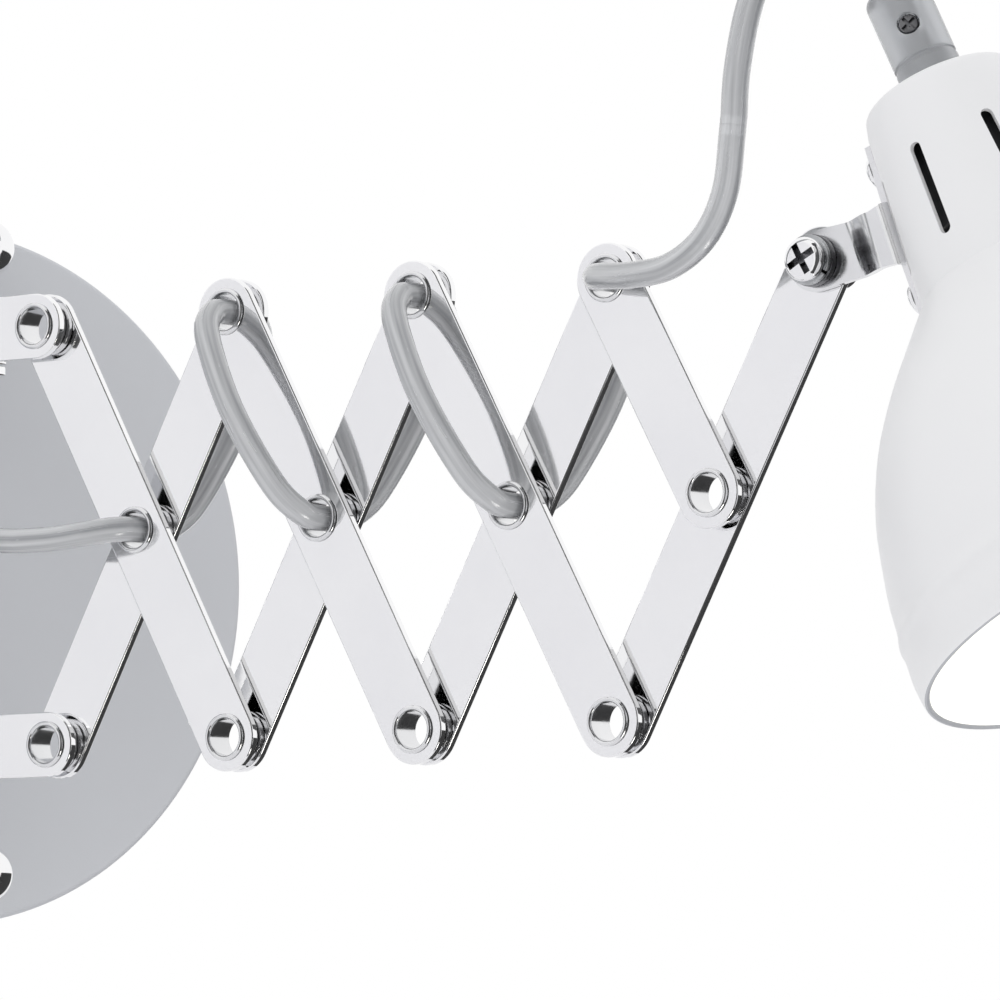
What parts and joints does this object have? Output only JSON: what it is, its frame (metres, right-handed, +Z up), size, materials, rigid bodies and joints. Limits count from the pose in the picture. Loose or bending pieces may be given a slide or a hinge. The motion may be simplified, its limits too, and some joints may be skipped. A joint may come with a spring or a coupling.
{
  "type": "scissor arm wall lamp",
  "caption": "Wall lamp on a chrome scissor arm: round plate, vertical rod, folding lattice of flat bars on hollow eyelets with the cable threaded through, and a tilting bell shade.",
  "frame": {"origin": "centre of the back of the wall plate, on the wall's surface", "axes": "+Z up, +X right along the wall as seen from the room, +Y into the wall, so the lamp stands out towards -Y"},
  "size_m": [0.2447, 0.3654, 0.2048],
  "materials": {
    "shade": "satin white lacquer",
    "plate": "fine matt light grey lacquer",
    "chrome": "polished chrome plate",
    "steel": "zinc plated",
    "cable": "clear jacket over grey cores",
    "clear": "clear moulded plastic",
    "grommet": "soft light grey",
    "lampholder": "black thermoset",
    "nylon": "natural nylon"
  },
  "bodies": {
    "wall_mount": {"wall_plate": "plate", "wall_strap": "steel", "rim_screw_left": "steel", "rim_screw_right": "steel", "terminal_block": "nylon", "cable_grommet": "grommet", "upper_post": "chrome", "lower_post": "chrome", "upper_post_nut": "steel", "lower_post_nut": "steel", "upper_ball": "chrome", "lower_ball": "chrome", "rod": "chrome", "stop_collar": "chrome", "cable_wall_inner": "cable"},
    "upper_bracket": {"upper_bracket": "chrome"},
    "lower_bracket": {"lower_bracket": "chrome", "bottom_eyelet_0": "chrome"},
    "front_bar_1": {"front_bar_1": "chrome", "top_eyelet_0": "chrome", "middle_eyelet_0": "chrome", "bottom_eyelet_1": "chrome", "cable_wall_outer": "cable"},
    "rear_bar_1": {"rear_bar_1": "chrome", "cable_run_1": "cable"},
    "front_bar_2": {"front_bar_2": "chrome", "top_eyelet_1": "chrome", "middle_eyelet_1": "chrome", "bottom_eyelet_2": "chrome", "cable_run_2": "cable"},
    "rear_bar_2": {"rear_bar_2": "chrome", "cable_run_3": "cable"},
    "front_bar_3": {"front_bar_3": "chrome", "top_eyelet_2": "chrome", "middle_eyelet_2": "chrome", "bottom_eyelet_3": "chrome", "cable_run_4": "cable"},
    "rear_bar_3": {"rear_bar_3": "chrome", "cable_run_5": "cable"},
    "front_half_bar": {"front_half_bar": "chrome", "top_eyelet_3": "chrome", "middle_eyelet_3": "chrome", "cable_head_inner": "cable"},
    "rear_bar_4": {"rear_bar_4": "chrome"},
    "head": {"shade": "shade", "head_bracket": "chrome", "upper_bracket_screw": "steel", "lower_bracket_screw": "steel", "tilt_screw": "chrome", "front_washer": "steel", "spring_washer": "steel", "rear_washer": "steel", "tilt_nut": "chrome", "lampholder": "lampholder", "nipple_nut": "steel", "threaded_nipple": "steel", "cord_grip": "clear", "grip_screw": "steel", "cable_head_outer": "cable"}
  },
  "joints": [
    {"name": "arm_swing", "type": "hinge", "parent": "wall_mount", "child": "upper_bracket", "pos_m": [0, -0.0347, 0], "axis": [0, 0, 1], "range_deg": [-91, 49], "deforming": ["cable_wall_inner", "cable_wall_outer"]},
    {"name": "arm_fold", "type": "hinge", "parent": "upper_bracket", "child": "front_bar_1", "pos_m": [0.00683, -0.05232, 0.053], "axis": [-0.9323, -0.3616, 0], "range_deg": [-18.6, 31.4], "deforming": ["cable_wall_outer"]},
    {"name": "middle_pivot_0", "type": "hinge", "parent": "front_bar_1", "child": "rear_bar_1", "pos_m": [0.01601, -0.07598, 0.00647], "axis": [-0.9323, -0.3616, 0], "range_deg": [-62.8, 37.2]},
    {"name": "bottom_pivot_0", "type": "hinge", "parent": "rear_bar_1", "child": "lower_bracket", "pos_m": [0.00683, -0.05232, -0.04007], "axis": [-0.9323, -0.3616, 0], "range_deg": [-18.6, 31.4]},
    {"name": "top_pivot_1", "type": "hinge", "parent": "rear_bar_1", "child": "front_bar_2", "pos_m": [0.02518, -0.09963, 0.053], "axis": [-0.9323, -0.3616, 0], "range_deg": [-37.2, 62.8]},
    {"name": "middle_pivot_1", "type": "hinge", "parent": "front_bar_2", "child": "rear_bar_2", "pos_m": [0.03436, -0.12328, 0.00647], "axis": [-0.9323, -0.3616, 0], "range_deg": [-62.8, 37.2]},
    {"name": "top_pivot_2", "type": "hinge", "parent": "rear_bar_2", "child": "front_bar_3", "pos_m": [0.04353, -0.14694, 0.053], "axis": [-0.9323, -0.3616, 0], "range_deg": [-37.2, 62.8]},
    {"name": "middle_pivot_2", "type": "hinge", "parent": "front_bar_3", "child": "rear_bar_3", "pos_m": [0.05271, -0.17059, 0.00647], "axis": [-0.9323, -0.3616, 0], "range_deg": [-62.8, 37.2]},
    {"name": "top_pivot_3", "type": "hinge", "parent": "rear_bar_3", "child": "front_half_bar", "pos_m": [0.06188, -0.19424, 0.053], "axis": [-0.9323, -0.3616, 0], "range_deg": [-37.2, 62.8], "deforming": ["cable_head_inner"]},
    {"name": "middle_pivot_3", "type": "hinge", "parent": "front_half_bar", "child": "rear_bar_4", "pos_m": [0.07106, -0.2179, 0.00647], "axis": [-0.9323, -0.3616, 0], "range_deg": [-62.8, 37.2], "deforming": ["cable_head_inner"]},
    {"name": "head_tilt", "type": "hinge", "parent": "rear_bar_4", "child": "head", "pos_m": [0.08023, -0.24155, 0.053], "axis": [-0.9323, -0.3616, 0], "range_deg": [-40, 75], "deforming": ["cable_head_outer"]}
  ],
  "couplings": [
    {"joint": "middle_pivot_0", "follows": "arm_fold", "ratio": -2},
    {"joint": "bottom_pivot_0", "follows": "arm_fold", "ratio": 1},
    {"joint": "top_pivot_1", "follows": "arm_fold", "ratio": 2},
    {"joint": "middle_pivot_1", "follows": "arm_fold", "ratio": -2},
    {"joint": "top_pivot_2", "follows": "arm_fold", "ratio": 2},
    {"joint": "middle_pivot_2", "follows": "arm_fold", "ratio": -2},
    {"joint": "top_pivot_3", "follows": "arm_fold", "ratio": 2},
    {"joint": "middle_pivot_3", "follows": "arm_fold", "ratio": -2}
  ]
}
